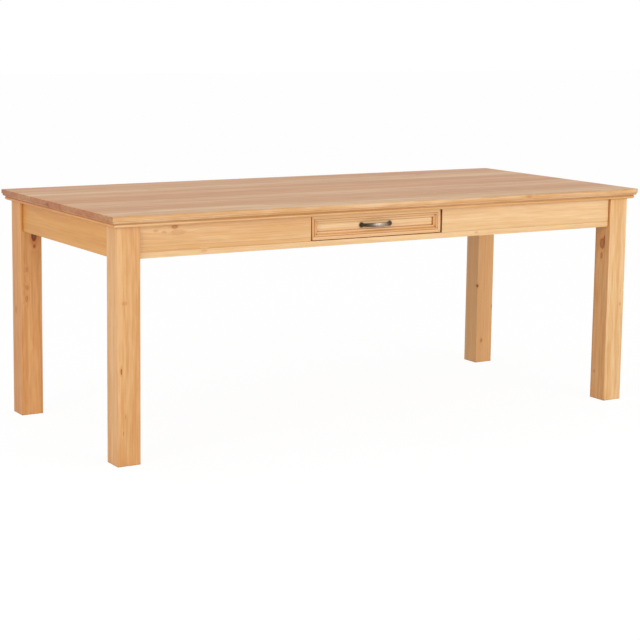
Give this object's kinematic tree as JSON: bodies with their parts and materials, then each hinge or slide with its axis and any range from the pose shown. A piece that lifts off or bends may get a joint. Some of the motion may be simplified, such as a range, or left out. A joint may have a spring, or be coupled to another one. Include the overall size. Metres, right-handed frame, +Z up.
{
  "type": "dining table",
  "caption": "Rectangular pine dining table with square legs, a moulded top edge and an inset drawer with a bow handle in its long side.",
  "frame": {"origin": "on the floor, under the centre of the top's outline", "axes": "+X along the table, to the right as seen from the drawer side; +Y from the drawer side to the back; +Z up"},
  "size_m": [2, 0.88, 0.75],
  "materials": {
    "top_pine": "oiled and waxed, satin",
    "rim_pine": "oiled and waxed, satin",
    "leg_pine": "oiled and waxed, satin",
    "apron_pine": "oiled and waxed, satin",
    "drawer_front_pine": "oiled and waxed, satin",
    "plain_pine": "planed, unfinished",
    "plywood": "sanded, unfinished",
    "zinc_steel": "zinc plated",
    "screw_steel": "yellow zinc plated",
    "antique_metal": "antiqued, rubbed bright on the strap"
  },
  "bodies": {
    "table": {"top_board_1": "top_pine", "top_board_2": "top_pine", "top_board_3": "top_pine", "top_board_4": "top_pine", "top_board_5": "top_pine", "top_board_6": "top_pine", "top_board_7": "top_pine", "top_frame_front": "rim_pine", "top_frame_right": "rim_pine", "top_frame_back": "rim_pine", "top_frame_left": "rim_pine", "leg_front_left": "leg_pine", "leg_front_right": "leg_pine", "leg_back_left": "leg_pine", "leg_back_right": "leg_pine", "apron_front_left": "apron_pine", "apron_front_right": "apron_pine", "apron_front_rail": "apron_pine", "apron_back": "apron_pine", "apron_left_end": "apron_pine", "apron_right_end": "apron_pine", "corner_block_front_left": "plain_pine", "corner_block_front_right": "plain_pine", "corner_block_back_left": "plain_pine", "corner_block_back_right": "plain_pine", "cross_rail_left": "plain_pine", "cross_rail_right": "plain_pine", "drawer_runner_left": "plain_pine", "drawer_runner_right": "plain_pine", "drawer_guide_left": "plain_pine", "drawer_guide_right": "plain_pine", "drawer_kicker_left": "plain_pine", "drawer_kicker_right": "plain_pine", "drawer_stop_left": "plain_pine", "drawer_stop_right": "plain_pine", "drawer_pull_stop": "plain_pine", "leg_hanger_bolts": "zinc_steel", "leg_bolt_washers": "zinc_steel", "leg_bolt_nuts": "zinc_steel", "top_brackets": "zinc_steel", "corner_block_screws": "screw_steel", "top_bracket_screws": "screw_steel", "batten_screws": "screw_steel"},
    "drawer": {"drawer_front_panel": "drawer_front_pine", "drawer_moulding_bottom": "drawer_front_pine", "drawer_moulding_top": "drawer_front_pine", "drawer_moulding_left": "drawer_front_pine", "drawer_moulding_right": "drawer_front_pine", "drawer_side_left": "plain_pine", "drawer_side_right": "plain_pine", "drawer_back": "plain_pine", "drawer_bottom": "plywood", "drawer_bottom_screws": "screw_steel", "drawer_handle": "antique_metal", "handle_screws": "screw_steel"}
  },
  "joints": [
    {"name": "drawer_slide", "type": "slide", "parent": "table", "child": "drawer", "axis": [0, -1, 0], "range_m": [0, 0.2797]}
  ]
}
